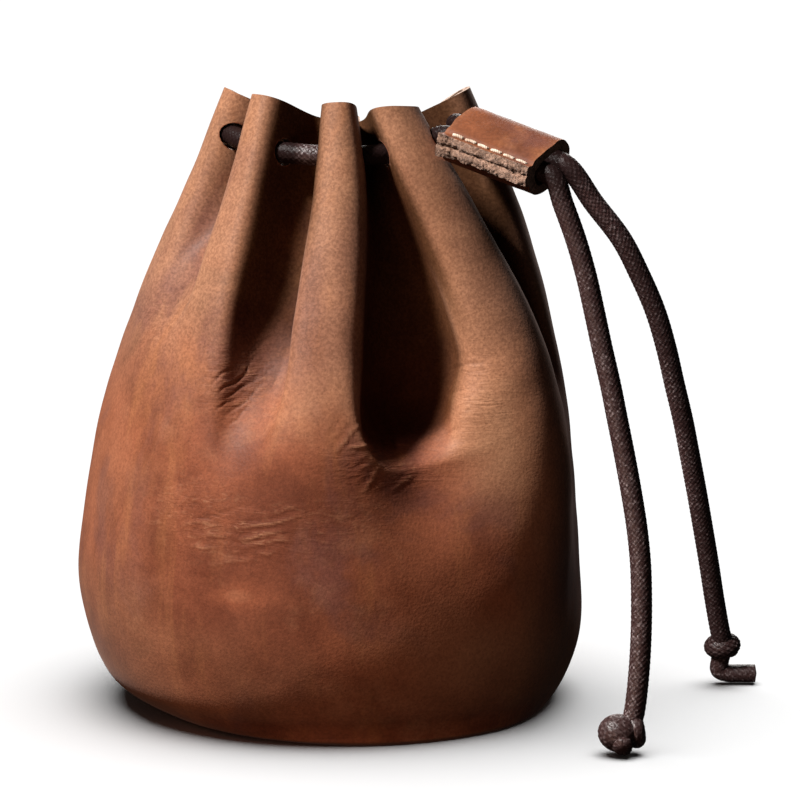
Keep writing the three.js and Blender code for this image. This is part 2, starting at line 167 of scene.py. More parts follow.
# Places of the front painted paler, or below zero darker: partly rubbed and oiled places, partly painted
# highlight and painted shade where the light falls brighter or dimmer, each with middle (x, z), spread and
# amount
WORN_AND_LIT_PLACES = (
    (-17.8, 30.2, 5.0, 2.4, 0.55), (-29.2, 36.6, 1.6, 7.5, 0.25), (33.0, 60.0, 8.0, 10.0, 0.95),
    (-1.2, 68.5, 6.0, 8.0, 0.5), (-33.0, 36.0, 7.0, 9.0, -0.2), (30.0, 84.0, 7.0, 14.0, 0.25),
    (-8.0, 44.0, 9.0, 8.0, -0.3), (-8.0, 12.0, 20.0, 6.0, -0.25), (-28.0, 22.0, 9.0, 7.0, -0.3),
    (30.0, 19.0, 14.0, 8.0, 0.6), (-43.5, 54.0, 5.0, 15.0, 0.15), (-25.0, 28.0, 18.0, 12.0, -0.4),
    (6.0, 40.0, 9.0, 12.0, -0.3), (0.4, 98.0, 2.2, 20.0, 0.3), (24.0, 93.0, 5.0, 14.0, 0.3),
)
# Places of the front with fine slanting wrinkles, with fine level ones, and the painted shadow that the
# slider casts on the fold beside it, which starts further back, in the same way
PUCKERED_PLACES = (
    (-16.5, 72.5, 6.0, 7.0, 1.0), (-33.0, 86.0, 5.0, 6.0, 0.6), (13.0, 57.0, 10.0, 5.0, 0.7),
    (29.0, 70.0, 6.0, 9.0, 0.5),
)
SLACK_PLACES = ((-14.0, 43.0, 13.0, 5.0, 0.8), (-26.0, 48.0, 9.0, 6.0, 0.7), (4.0, 46.0, 10.0, 4.0, 0.4))
SLIDER_SHADOW_START = -16
SLIDER_SHADOW_PLACES = ((33.5, 107.0, 4.5, 11.0, 1.3),)
# The front fold that keeps more of the belly's warm colour
WARM_PLACES = ((23.0, 100.0, 9.0, 24.0, 0.45),)

# Way of the cord: the slider's ends and the side of its raw edges, stations round the mouth as angle,
# radius and height, and the two free ends down to their knots, all in millimetres
SLIDER_INNER = np.array((26.6, -19.8, 118.1))
SLIDER_OUTER = np.array((43.4, -31.2, 112.8))
SLIDER_EDGE_SIDE = np.array((-0.58, -0.7, -0.4))
SLIDER_ROOM = 0.45
SLIDER_SLOPE = 0.5
SLIDER_GUIDE = 0.2
SLIDER_LEAD = 0.12
JOIN_GAP = 0.3
HOLE_STEP = 1.2
HOLE_AROUND = 20
LOOP_CENTRE = 3.2
LOOP_STATIONS = (
    (44, 23, 116), (25, 22.5, 114.5), (-2, 22.5, 114), (-40, 23, 114.8), (-80, 24.5, 117), (-118, 23, 113.5),
    (-156, 23, 110.5), (-190, 23, 110), (-224, 23, 112), (-255, 23, 115), (-278, 23.5, 117.5),
)
FRONT_WAY = (
    (46, -35.5, 106.1), (48.5, -36.3, 99.2), (50.5, -37.2, 92.3), (52.1, -38.2, 85.3), (53.6, -39.2, 78.4),
    (55.2, -40.2, 71.5), (56.6, -41.3, 64.6), (58, -42.3, 57.7), (59.3, -43.4, 50.7), (60.4, -44.5, 43.8),
    (61.1, -45.6, 36.9), (61.3, -46.7, 30), (61.2, -47.9, 23.1), (60.8, -49, 16.1), (59.9, -50.1, 8.4),
    (59.2, -50.6, 6),
)
SIDE_WAY = (
    (52.2, -30.5, 105.7), (57.7, -28.9, 98.4), (61.5, -26.6, 91), (64.8, -24, 83.4), (67.2, -21.2, 75.6),
    (69.1, -18.2, 67.9), (71.1, -15.1, 60), (72.8, -11.8, 52.1), (74.5, -8.4, 44), (76.1, -4.9, 35.9),
    (77.7, -1.3, 27.6), (79.2, 2.4, 19.3), (80.9, 6, 11.1), (81.5, 6.9, 9.3),
)
FRONT_LENGTH = 0.132
SIDE_LENGTH = 0.138
# Painted shadow on the cord, which keeps the given share of its braid's relief, pale colour and gloss: over
# the loop's front except between two places across it, and on the ends near the slider
LOOP_UNSHADED_STARTS = (-7, -4.5)
LOOP_UNSHADED_ENDS = (1, 3)
LOOP_FRONT = (2, 8)
END_UNSHADED_STARTS = (4, 13)
PAINTED_SHADOW_SHARE = 0.1

# Stopper knots: middle, half sizes and lean of the main lobe, middle, ring radius, cord radius and turn of
# the strand that laps it, and the cut tail
KNOTS = {
    "knot_front": {
        "middle": (56.9, -51.2, 4.5), "halves": (4.2, 3.9, 3.75), "lean": -8,
        "lap": (60.1, -50.7, 4.7), "ring": 1.5, "cord": 1.85, "turn": (8, 82, 12),
        "tail": ((57.9, -51.0, 4.3), (57.7, -53.2, 3.3), (57.4, -55.0, 2.55)),
    },
    "knot_side": {
        "middle": (81.3, 7.5, 8.5), "halves": (3.9, 3.7, 2.8), "lean": 8,
        "lap": (82.6, 7.5, 8.6), "ring": 1.0, "cord": 1.65, "turn": (0, 70, 20),
        "tail": ((81.4, 7.9, 7.2), (80.9, 8.6, 4.8), (80.9, 8.9, 3), (82.7, 9, 2.3), (85.2, 9, 2.25),
                 (88.3, 9, 2.25)),
    },
}
# Braid of the cord, the turns and tails of the knots, and the step of the ends' way
BRAID_STRANDS = 12
BRAID_PITCH = 1.1
BRAID_AROUND = 60
BRAID_STEP = 0.2
BRAID_DEPTH = 0.06
STRAND_ACROSS = 0.7
STRAND_ALONG = 0.35
CUT_RELIEF = 0.4
POLE_RELIEF = 0.5
BALL_DEPTH = 0.05
LAP_STEPS = 60
LAP_AROUND = 36
TAIL_AROUND = 32
TAIL_SHARE = 0.46
TAIL_DOME = 0.35
PATH_STEP = 2.0

# Slider's mesh and uneven ends, and the scale and height of its uneven grain and frayed edges
SLIDER_ROWS = 64
SLIDER_SHARP = 50
END_SLIP = 0.35
END_SLIP_SCALE = 0.4
UNEVEN_SCALE = 0.9
UNEVEN_GRAIN = (0.35, 0.09)
FINE_FRAY = (1.7, 0.55)
BROAD_FRAY = (0.5, 0.35)
LEAST_FRAY = 0.15
INNER_END_FRAY = 0.9
INNER_END_REACH = 3.5

# Raw edges, seam and stitches of the slider in millimetres, with the notch's width as a share of the edge
EDGE_NOTCH = 0.22
NOTCH_WIDTH = 0.06
EDGE_SWELL = 0.18
EDGE_LEAN = 1.0
SEAM_INSET = 1.1
SEAM_GROOVE = 0.42
SEAM_WIDTH = 0.5
STITCH_FIRST = 2.2
STITCH_STEP = 3.05
STITCH_LENGTH = 2.3
STITCH_AROUND = 10
STITCH_DOME = 0.15
STITCH_WANDER = 0.12
STITCH_BOW = 0.16
STITCH_SINK = 0.28
STITCH_FALL = 0.05

# Camera in metres and degrees, and the lamps: place, the spot that each shines at, size, watts, colour, and
# the collection that says which pieces it lights
CAMERA_PLACE = (0.0143, -0.860, 0.207)
CAMERA_DOWN = 9.6
CAMERA_LENS = 192.3
KEY_DARK_PIECES = "unlit_by_key_light"
CARD_DARK_PIECES = "unlit_by_bounce_card"
CORD_LIGHT_PIECES = "lit_by_cord_light"
LAMPS = (
    ("key_light", (-0.713, -0.363, 1.084), (0.0, 0.0, 0.06), 0.16, 36.0, (1.0, 0.98, 0.95), KEY_DARK_PIECES),
    ("bounce_card", (-0.07, -0.18, 0.003), (-0.01, -0.04, 0.025), 0.14, 0.15, (1.0, 0.62, 0.45),
     CARD_DARK_PIECES),
    ("back_card", (0.16, 0.9, 0.5), (0.0, 0.0, 0.06), 0.5, 6.0, (1.0, 0.96, 0.92), KEY_DARK_PIECES),
    ("cord_light", (-0.62, -0.72, 0.86), (0.06, -0.03, 0.05), 0.2, 20.0, (1.0, 0.97, 0.95),
     CORD_LIGHT_PIECES),
)
SUN_STRENGTH = 3.9
SUN_SPREAD = 60
FLOOR_HALF = 14.0


# Properties that a user would change

class PouchSizes(bpy.types.PropertyGroup):
    """Sizes of the pouch's pieces"""
    leather: FloatProperty(
        name="Leather", description="Thickness of the pouch's wall and base",
        default=0.0016, unit="LENGTH", precision=4)
    slider_leather: FloatProperty(
        name="Slider leather", description="Thickness of the slider's folded strip",
        default=0.002, unit="LENGTH", precision=4)
    cord: FloatProperty(
        name="Cord", description="Diameter of the waxed cord",
        default=0.0042, unit="LENGTH", precision=4)
    hole: FloatProperty(
        name="Cord hole", description="Diameter of the holes punched for the cord",
        default=0.0054, unit="LENGTH", precision=4)
    thread: FloatProperty(
        name="Thread", description="Diameter of the slider's sewing thread",
        default=0.0007, unit="LENGTH", precision=4)
    dents: FloatProperty(
        name="Dents", description="Depth of the broad uneven places of the wall",
        default=0.0004, unit="LENGTH", precision=4)
    creases: FloatProperty(
        name="Creases", description="How deep the creases are, as a share of what was seen",
        default=1.0, subtype="FACTOR", min=0.0, max=2.0)


class PouchColours(bpy.types.PropertyGroup):
    """Colours of the pouch's finishes"""
    leather_deep: FloatVectorProperty(
        name="Deep leather", description="Darker places of the grain side",
        default=(0.13, 0.036, 0.017), subtype="COLOR", min=0.0, max=1.0)
    leather_warm: FloatVectorProperty(
        name="Warm leather", description="Usual colour of the grain side",
        default=(0.265, 0.082, 0.038), subtype="COLOR", min=0.0, max=1.0)
    leather_gathered: FloatVectorProperty(
        name="Gathered leather", description="Browner colour of the part that is drawn up into folds",
        default=(0.268, 0.13, 0.073), subtype="COLOR", min=0.0, max=1.0)
    # Pale colour of pulled and rubbed places, also used as painted highlight on places of the front and on
    # raised creases and wrinkles
    leather_worn_and_lit: FloatVectorProperty(
        name="Worn leather", description="Pulled and rubbed places of the grain side",
        default=(0.42, 0.205, 0.112), subtype="COLOR", min=0.0, max=1.0)
    slider_deep: FloatVectorProperty(
        name="Deep slider", description="Darker places of the slider's grain side",
        default=(0.10, 0.030, 0.013), subtype="COLOR", min=0.0, max=1.0)
    slider_warm: FloatVectorProperty(
        name="Warm slider", description="Usual colour of the slider's grain side",
        default=(0.245, 0.076, 0.030), subtype="COLOR", min=0.0, max=1.0)
    slider_worn: FloatVectorProperty(
        name="Worn slider", description="Rubbed places of the slider's grain side",
        default=(0.33, 0.135, 0.065), subtype="COLOR", min=0.0, max=1.0)
    flesh_side: FloatVectorProperty(
        name="Flesh side", description="Rough inner side of the leather",
        default=(0.30, 0.17, 0.10), subtype="COLOR", min=0.0, max=1.0)
    cut_edge: FloatVectorProperty(
        name="Cut edge", description="Raw edges of the leather",
        default=(0.62, 0.46, 0.37), subtype="COLOR", min=0.0, max=1.0)
    slider_edge: FloatVectorProperty(
        name="Slider's edges", description="Frayed raw edges of the slider",
        default=(0.62, 0.37, 0.26), subtype="COLOR", min=0.0, max=1.0)
    cord: FloatVectorProperty(
        name="Cord", description="Waxed cord",
        default=(0.045, 0.022, 0.021), subtype="COLOR", min=0.0, max=1.0)
    # Pale wax on the raised strands, partly standing in for painted glints
    wax_and_glints: FloatVectorProperty(
        name="Wax", description="Wax on the raised strands of the cord",
        default=(0.40, 0.32, 0.32), subtype="COLOR", min=0.0, max=1.0)
    thread: FloatVectorProperty(
        name="Thread", description="Sewing thread of the slider",
        default=(0.72, 0.60, 0.48), subtype="COLOR", min=0.0, max=1.0)
    floor: FloatVectorProperty(
        name="Floor", description="Pale floor under the pouch",
        default=(0.86, 0.86, 0.86), subtype="COLOR", min=0.0, max=1.0)


# Lines and tubes

def unit(vector):
    """Vector or rows of vectors at length one."""
    return vector / np.linalg.norm(vector, axis=-1, keepdims=True)


def smoothstep(value, low, high):
    """Smooth step from 0 at low to 1 at high."""
    share = np.clip((value - low) / (high - low), 0.0, 1.0)
    return share * share * (3.0 - 2.0 * share)


def lerp(first, second, share):
    """Mix of two values."""
    return first + (second - first) * share


def smooth_line(points, fine=48):
    """Dense centripetal curve through the points."""
    points = np.asarray(points, float)
    padded = np.vstack((2 * points[0] - points[1], points, 2 * points[-1] - points[-2]))
    shares = np.linspace(0, 1, fine, endpoint=False)[:, None]
    stretches = []
    for index in range(len(points) - 1):
        a, b, c, d = padded[index:index + 4]
        before, here, after = (np.sqrt(np.linalg.norm(step)) for step in (b - a, c - b, d - c))
        start = here * ((b - a) / before - (c - a) / (before + here) + (c - b) / here)
        end = here * ((c - b) / here - (d - b) / (here + after) + (d - c) / after)
        square = shares * shares
        stretches.append(b + start * shares + (3 * (c - b) - 2 * start - end) * square
                         + (2 * (b - c) + start + end) * square * shares)
    return np.vstack(stretches + [points[-1:]])


def along(line):
    """Distance of each point of a line from its start."""
    return np.concatenate(([0.0], np.cumsum(np.linalg.norm(np.diff(line, axis=0), axis=1))))


def even_line(points, spacing):
    """Evenly spaced points on the curve through the points."""
    line = smooth_line(points)
    reach = along(line)
    steps = max(2, round(reach[-1] / spacing))
    places = np.linspace(0, reach[-1], steps + 1)
    return np.column_stack([np.interp(places, reach, line[:, axis]) for axis in range(3)])


def line_frames(line, closed):
    """Side and upward vectors along a line, turned as little as possible."""
    if closed:
        ahead = unit(np.roll(line, -1, axis=0) - np.roll(line, 1, axis=0))
    else:
        ahead = unit(np.gradient(line, axis=0))
    guide = np.array((0.0, 0.0, 1.0)) if abs(ahead[0][2]) < 0.9 else np.array((1.0, 0.0, 0.0))
    side = unit(np.cross(ahead[0], guide))
    sides = [side]
    for step in ahead[1:]:
        side = side - step * np.dot(side, step)
        side = side / np.linalg.norm(side)
        sides.append(side)
    sides = np.array(sides)
    return sides, np.cross(ahead, sides)


def braid_relief(turns, reach):
    """Height of a braid's crossing strands, from 0 between them to 1 on their crowns."""
    right = BRAID_STRANDS * turns + reach / BRAID_PITCH
    left = BRAID_STRANDS * turns - reach / BRAID_PITCH
    over = (np.floor(right) + np.floor(left)) % 2 < 1
    across = np.where(over, right, left) % 1.0
    length = np.where(over, left, right) % 1.0
    return np.sin(np.pi * across) ** STRAND_ACROSS * np.sin(np.pi * length) ** STRAND_ALONG


def band(low, high, count, flip=False):
    """Faces between two closed rings of points, from the first point of each."""
    here = np.arange(count)
    after = np.roll(here, -1)
    second, fourth = (high + here, low + after) if flip else (low + after, high + here)
    return np.column_stack((low + here, second, high + after, fourth)).tolist()


def fan(ring, tip, count, flip=False):
    """Faces between a closed ring of points, from its first point, and a tip."""
    here = ring + np.arange(count)
    edges = (np.roll(here, -1), here) if flip else (here, np.roll(here, -1))
    return np.column_stack((*edges, np.full(count, tip))).tolist()


def tube(line, radius, around, braided=False, closed=False, dome=0.0):
    """Points, faces and relief of a round tube along a line, its ends closed by low domes."""
    sides, ups = line_frames(line, closed)
    turns = np.arange(around) / around
    reach = along(line)
    relief = braid_relief(turns[None, :], reach[:, None]) if braided else np.ones((len(line), around))
    radii = radius * (1 - BRAID_DEPTH + BRAID_DEPTH * relief) if braided else radius * relief
    angle = 2 * np.pi * turns
    spokes = np.cos(angle)[None, :, None] * sides[:, None, :] + np.sin(angle)[None, :, None] * ups[:, None, :]
    points = (line[:, None, :] + radii[:, :, None] * spokes).reshape(-1, 3)
    relief = relief.ravel()
    faces = []
    for row in range(len(line) if closed else len(line) - 1):
        faces += band(row * around, (row + 1) % len(line) * around, around)
    if not closed:
        for row, sign in ((0, -1), (len(line) - 1, 1)):
            tip = line[row] + sign * dome * unit(line[row] - line[row - sign])
            faces += fan(row * around, len(points), around, flip=sign < 0)
            points = np.vstack((points, tip))
            relief = np.append(relief, CUT_RELIEF)
    return points, faces, relief


def wound_ball(middle, halves, lean, rings=40, around=60):
    """Points, faces and relief of a ball of wound cord, leaned over to one side."""
    levels = np.linspace(0, np.pi, rings + 1)[1:-1]
    turns = np.arange(around) / around
    relief = braid_relief(turns[None, :], (levels * halves[2])[:, None])
    swell = 1 - BALL_DEPTH + BALL_DEPTH * relief
    angle = 2 * np.pi * turns[None, :]
    flat = np.sin(levels)[:, None] * swell
    shape = np.dstack((halves[0] * flat * np.cos(angle), halves[1] * flat * np.sin(angle),
                       halves[2] * np.cos(levels)[:, None] * swell)).reshape(-1, 3)
    shape = np.vstack((shape, (0, 0, halves[2]), (0, 0, -halves[2])))
    x, z = shape[:, 0].copy(), shape[:, 2].copy()
    shape[:, 0] = x * math.cos(lean) - z * math.sin(lean)
    shape[:, 2] = x * math.sin(lean) + z * math.cos(lean)
    last = (len(levels) - 1) * around
    faces = fan(0, len(shape) - 2, around) + fan(last, len(shape) - 1, around, flip=True)
    for row in range(0, last, around):
        faces += band(row, row + around, around, flip=True)
    return shape + np.array(middle), faces, np.append(relief.ravel(), 2 * [POLE_RELIEF])


def joined(*shapes):
    """One list of points, faces and relief from several."""
    points, faces, relief, start = [], [], [], 0
    for some_points, some_faces, some_relief in shapes:
        points.append(some_points)
        faces += [tuple(index + start for index in face) for face in some_faces]
        relief.append(some_relief)
        start += len(some_points)
    return np.vstack(points), faces, np.concatenate(relief)


# Meshes and pieces

def new_mesh(name, points, faces, attributes=()):
    """Smooth mesh in metres from points in millimetres, with named numbers on its points."""
    mesh = bpy.data.meshes.new(name)
    mesh.from_pydata((np.asarray(points) * MM).tolist(), [], faces)
    for key, values in attributes:
        layer = mesh.attributes.new(key, "FLOAT", "POINT")
        layer.data.foreach_set("value", np.asarray(values, np.float32))
    mesh.polygons.foreach_set("use_smooth", np.ones(len(mesh.polygons), bool))
    mesh.update()
    return mesh


def new_object(name, data):
    """Object in the scene."""
    thing = bpy.data.objects.new(name, data)
    bpy.context.scene.collection.objects.link(thing)
    return thing


def leave_unlit(thing, group):
    """Leaves an object out of the lamps that a collection is for."""
    pieces = bpy.data.collections[group]
    pieces.objects.link(thing)
    pieces.collection_objects[-1].light_linking.link_state = "EXCLUDE"


def new_piece(name, mesh, materials, slot, *nodes):
    """Piece of the pouch that rides on its only body and stands for CAD nodes."""
    for material in materials:
        mesh.materials.append(material)
    piece = new_object(name, mesh)
    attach(piece, "root")
    if nodes:
        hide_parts(*nodes)
    return piece


# Shader nodes

def fill(tree, node, inputs):
    """Sets or links a node's inputs by name or place, with full alpha for colours."""
    for key, value in inputs.items():
        socket = node.inputs[key]
        if isinstance(value, bpy.types.NodeSocket):
            tree.links.new(value, socket)
        elif socket.type == "RGBA":
            socket.default_value = (*value, 1.0)
        else:
            socket.default_value = value


def add(tree, kind, inputs, **settings):
    """New node with its settings and inputs."""
    node = tree.nodes.new(kind)
    for key, value in settings.items():
        setattr(node, key, value)
    fill(tree, node, inputs)
    return node


def blended(tree, share, first, second, blend="MIX"):
    """Colour between two colours."""
    node = add(tree, "ShaderNodeMix", {0: share, 6: first, 7: second}, data_type="RGBA", blend_type=blend)
    return node.outputs[2]


def reckoned(tree, first, second, third=0.0, operation="MULTIPLY_ADD", clamp=False):
    """Result of one step of arithmetic, as a rule the first times the second, plus the third."""
    node = add(tree, "ShaderNodeMath", {0: first, 1: second, 2: third}, operation=operation, use_clamp=clamp)
    return node.outputs[0]


def spread(tree, value, low, high, end=1.0, start=0.0, curve="SMOOTHSTEP"):
    """Step of a value, from a start at low to an end at high."""
    node = add(tree, "ShaderNodeMapRange", {
        "Value": value, "From Min": low, "From Max": high, "To Min": start, "To Max": end,
    }, interpolation_type=curve)
    return node.outputs["Result"]


def clouds(tree, place, scale, detail=4.0, rough=0.55, distort=0.0):
    """Noise texture's value at a scale per metre."""
    node = add(tree, "ShaderNodeTexNoise", {
        "Vector": place, "Scale": scale, "Detail": detail, "Roughness": rough, "Distortion": distort})
    return node.outputs["Fac"]


def cells(tree, place, scale, feature):
    """Distance from the middles of scattered cells, at a scale per metre."""
    node = add(tree, "ShaderNodeTexVoronoi", {"Vector": place, "Scale": scale}, feature=feature)
    return node.outputs["Distance"]


def mapped(tree, place, **changes):
    """Place moved, turned or stretched."""
    return add(tree, "ShaderNodeMapping", {"Vector": place, **changes}).outputs["Vector"]


def carried(tree, name):
    """Number that the mesh carries on its points."""
    return add(tree, "ShaderNodeAttribute", {}, attribute_name=name).outputs["Fac"]


def new_material(name):
    """Material with its shader and its place in the object."""
    material = bpy.data.materials.new(name)
    material.use_nodes = True
    tree = material.node_tree
    place = add(tree, "ShaderNodeTexCoord", {}).outputs["Object"]
    return material, tree, tree.nodes["Principled BSDF"], place


def scaled(colour, share):
    """Colour made darker or lighter."""
    return [share * part for part in colour]


def bumped(tree, layers):
    """Normal of bumps laid over one another, each a height, a strength and a distance."""
    normal = {}
    for height, strength, distance in layers:
        inputs = {"Height": height, "Strength": strength, "Distance": distance, **normal}
        normal = {"Normal": add(tree, "ShaderNodeBump", inputs).outputs["Normal"]}
    return normal["Normal"]


def grain_leather(name, deep, warm, gathered, worn_and_lit, shift=(0.0, 0.0, 0.0)):
    """Oiled leather, mottled, paler where it is rubbed or bent, with painted highlight and painted shade on
    places of the front and in its creases and wrinkles, painted shade down in its folds, and fine pores.
    """
    material, tree, shader, place = new_material(name)
    place = mapped(tree, place, Location=shift)
    wear, crease, tone, fold, gather, pucker, slack = (
        carried(tree, key) for key in ("wear", "crease", "tone", "fold", "gather", "pucker", "slack"))

    broad = clouds(tree, place, 24.0, 4.0, 0.6, 0.4)
    middle = clouds(tree, place, 95.0, 5.0, 0.62, 0.6)
    fine = clouds(tree, place, 1500.0, 3.0, 0.65, 0.4)
    rubbed = clouds(tree, place, 62.0, 6.0, 0.66)
    red = clouds(tree, mapped(tree, place, Scale=(1.0, 1.0, 1.6)), 46.0, 3.0, 0.55, 0.8)
    oiled, streaks, drawn, level = (
        clouds(tree, mapped(tree, place, Rotation=turn, Scale=stretch), *texture)
        for turn, stretch, *texture in (
            ((0.3, 0.2, 0.0), (1.0, 1.0, 0.7), 33.0, 5.0, 0.6, 0.6),
            ((0.0, 0.12, 0.0), (95.0, 95.0, 15.0), 1.0, 4.0, 0.6, 0.5),
            ((0.0, math.radians(42), 0.0), (170.0, 300.0, 1150.0), 1.0, 3.0, 0.55, 0.7),
            ((0.0, math.radians(14), 0.0), (200.0, 300.0, 820.0), 1.0, 3.0, 0.55, 1.1),
        ))
    dots = cells(tree, place, 1450.0, "F1")
    pores = cells(tree, place, 2100.0, "SMOOTH_F1")

    mottle = reckoned(tree, broad, 0.55, reckoned(tree, middle, 0.45, reckoned(tree, tone, 0.3)))
    drawn_up = blended(tree, spread(tree, mottle, 0.3, 0.66), scaled(gathered, 0.72), scaled(gathered, 1.12))
    bent = reckoned(tree, spread(tree, rubbed, 0.52, 0.76, 0.3), 1.0, spread(tree, wear, 0.05, 0.7, 0.32))
    pale = reckoned(tree, reckoned(tree, tone, 0.0, operation="MAXIMUM"), reckoned(tree, middle, 1.0, 0.35),
                    bent, clamp=True)
    layers = [
        (gather, drawn_up),
        (spread(tree, red, 0.5, 0.72, 0.3), (0.30, 0.10, 0.05)),
        (spread(tree, oiled, 0.48, 0.62, 0.62), (0.135, 0.05, 0.04)),
        (spread(tree, streaks, 0.5, 0.7, 0.42), (0.34, 0.128, 0.05)),
        # Paler where rubbed or bent, and where places of the front are painted with highlight
        (pale, worn_and_lit),
        # Creases painted with shade in their grooves, and paler where the leather stands up, partly wear and
        # partly painted highlight
        (spread(tree, crease, 0.1, 0.8, 0.5), scaled(deep, 0.35)),
        (spread(tree, crease, -0.1, -0.7, 0.55), worn_and_lit),
    ]
    # Fine wrinkles painted paler on their tops, partly wear and partly painted highlight, and painted with
    # shade in their grooves
    for wrinkles, share in ((drawn, reckoned(tree, pucker, 0.4)), (level, reckoned(tree, slack, 0.4))):
        layers += [(spread(tree, wrinkles, 0.54, 0.7, share), worn_and_lit),
                   (spread(tree, wrinkles, 0.46, 0.3, share), scaled(deep, 0.5))]
    colour = blended(tree, spread(tree, mottle, 0.34, 0.64), deep, warm)
    for share, tint in layers:
        colour = blended(tree, share, colour, tint)
    flecks = blended(tree, spread(tree, fine, 0.36, 0.66), (0.55, 0.48, 0.44), (1.42, 1.42, 1.42))
    colour = blended(tree, reckoned(tree, gather, 0.26, 0.26), colour, flecks, "MULTIPLY")
    colour = blended(tree, spread(tree, dots, 0.42, 0.1, 0.2), colour, scaled(deep, 0.4))
    # Painted shade down in the folds: the colour darkened where the fold number is high, which also takes
    # away the sheen and gloss
    colour = blended(tree, reckoned(tree, fold, 0.9), colour, (0.22, 0.2, 0.16), "MULTIPLY")

    sheen = reckoned(tree, reckoned(tree, gather, 0.24, 0.07), reckoned(tree, fold, -1.0, 1.0))
    fill(tree, shader, {
        "Base Color": colour,
        "Roughness": spread(tree, middle, 0.3, 0.7, 0.68, 0.5, "LINEAR"),
        "Specular IOR Level": reckoned(tree, fold, -0.14, 0.16),
        "Sheen Weight": sheen,
        "Sheen Roughness": 0.4,
        "Sheen Tint": (1.0, 0.84, 0.82),
        "Normal": bumped(tree, (
            (clouds(tree, place, 110.0, 3.0, 0.5, 0.4), 0.08, 0.0005),
            (reckoned(tree, drawn, pucker), 0.7, 0.0008),
            (reckoned(tree, level, slack), 0.4, 0.0006),
            (pores, 0.2, 0.00012),
            (fine, 0.25, 0.00014),
        )),
    })
    return material


def rough_leather(name, base, dark, scale, depth):
    """Napped flesh side or fibrous raw edge of leather."""
    material, tree, shader, place = new_material(name)
    nap = clouds(tree, place, scale, 6.0, 0.7, 0.8)
    broad = clouds(tree, place, scale * 0.16, 4.0, 0.6)
    colour = blended(tree, spread(tree, nap, 0.32, 0.66), dark, base)
    fill(tree, shader, {
        "Base Color": blended(tree, spread(tree, broad, 0.4, 0.7, 0.4), colour, scaled(base, 0.6)),
        "Roughness": 0.9,
        "Specular IOR Level": 0.2,
        "Sheen Weight": 0.2,
        "Normal": bumped(tree, ((nap, 0.8, depth),)),
    })
    return material


def waxed_cord(name, colours):
    """Braided cord, painted with shade between its strands, with pale wax on their crowns that partly stands
    in for painted glints, and painted dark without wax where its relief is turned down.
    """
    material, tree, shader, place = new_material(name)
    relief = carried(tree, "relief")
    specks = clouds(tree, place, 1500.0, 3.0, 0.65)
    patches = clouds(tree, place, 160.0, 3.0, 0.6)
    crowns = reckoned(tree, spread(tree, relief, 0.4, 1.0, 0.8), 1.0, spread(tree, relief, 0.05, 0.3, 0.2))
    # Pale wax on the crowns, partly painted glints
    wax_and_glint_share = spread(tree, patches, 0.2, 0.75, spread(tree, specks, 0.46, 0.7, crowns))
    # Colour painted with shade between the strands, darkest where the relief is lowest
    colour = blended(tree, spread(tree, relief, 0.0, 0.6), scaled(colours.cord, 0.3), colours.cord)
    fill(tree, shader, {
        "Base Color": blended(tree, wax_and_glint_share, colour, colours.wax_and_glints),
        "Roughness": spread(tree, specks, 0.3, 0.7, 0.5, 0.28, "LINEAR"),
        "Specular IOR Level": reckoned(tree, relief, 0.5, 0.06),
        "Normal": bumped(tree, ((specks, 0.6, 0.0003),)),
    })
    return material


def sewing_thread(name, colours):
    """Pale twisted thread, a little soiled."""
    material, tree, shader, place = new_material(name)
    soil = spread(tree, clouds(tree, place, 700.0, 3.0, 0.6), 0.4, 0.7)
    twist = add(tree, "ShaderNodeTexWave", {"Vector": place, "Scale": 900.0, "Distortion": 1.0})
    fill(tree, shader, {
        "Base Color": blended(tree, soil, colours.thread, (0.42, 0.27, 0.18)),
        "Roughness": 0.75,
        "Normal": bumped(tree, ((twist.outputs["Fac"], 0.5, 0.0002),)),
    })
    return material


# Slider's own directions, and the cord's way through it

SLIDER_LENGTH = float(np.linalg.norm(SLIDER_OUTER - SLIDER_INNER))
SLIDER_AXIS = unit(SLIDER_OUTER - SLIDER_INNER)
SLIDER_TOP = unit(np.cross(SLIDER_EDGE_SIDE, SLIDER_AXIS))
SLIDER_FOLD_SIDE = unit(np.cross(SLIDER_TOP, SLIDER_AXIS))


def in_slider(side, share, cord):
    """Point in one of the slider's channels, 0 by the fold or 1 by the raw edges, a share along it."""
    return (SLIDER_INNER + SLIDER_AXIS * SLIDER_LENGTH * share
            + SLIDER_FOLD_SIDE * (0.5 - side) * (cord + SLIDER_ROOM))


def loop_way(cord):
    """Points of the cord from the slider round the mouth and back into it."""
    middle = 0.5 - JOIN_GAP / 2 / SLIDER_LENGTH
    way = [in_slider(1, share, cord) for share in (middle, SLIDER_GUIDE, -SLIDER_LEAD)]
    for angle, radius, height in LOOP_STATIONS:
        turn = math.radians(angle)
        way.append((LOOP_CENTRE + radius * math.sin(turn), -radius * math.cos(turn), height))
    return way + [in_slider(0, share, cord) for share in (-SLIDER_LEAD, SLIDER_GUIDE, middle)]


def end_way(side, way, cord):
    """Points of a free end from the middle of the slider down to its knot."""
    middle = 0.5 + JOIN_GAP / 2 / SLIDER_LENGTH
    shares = (middle, 1 - SLIDER_GUIDE, 1 + SLIDER_LEAD)
    return [in_slider(side, share, cord) for share in shares] + list(way)


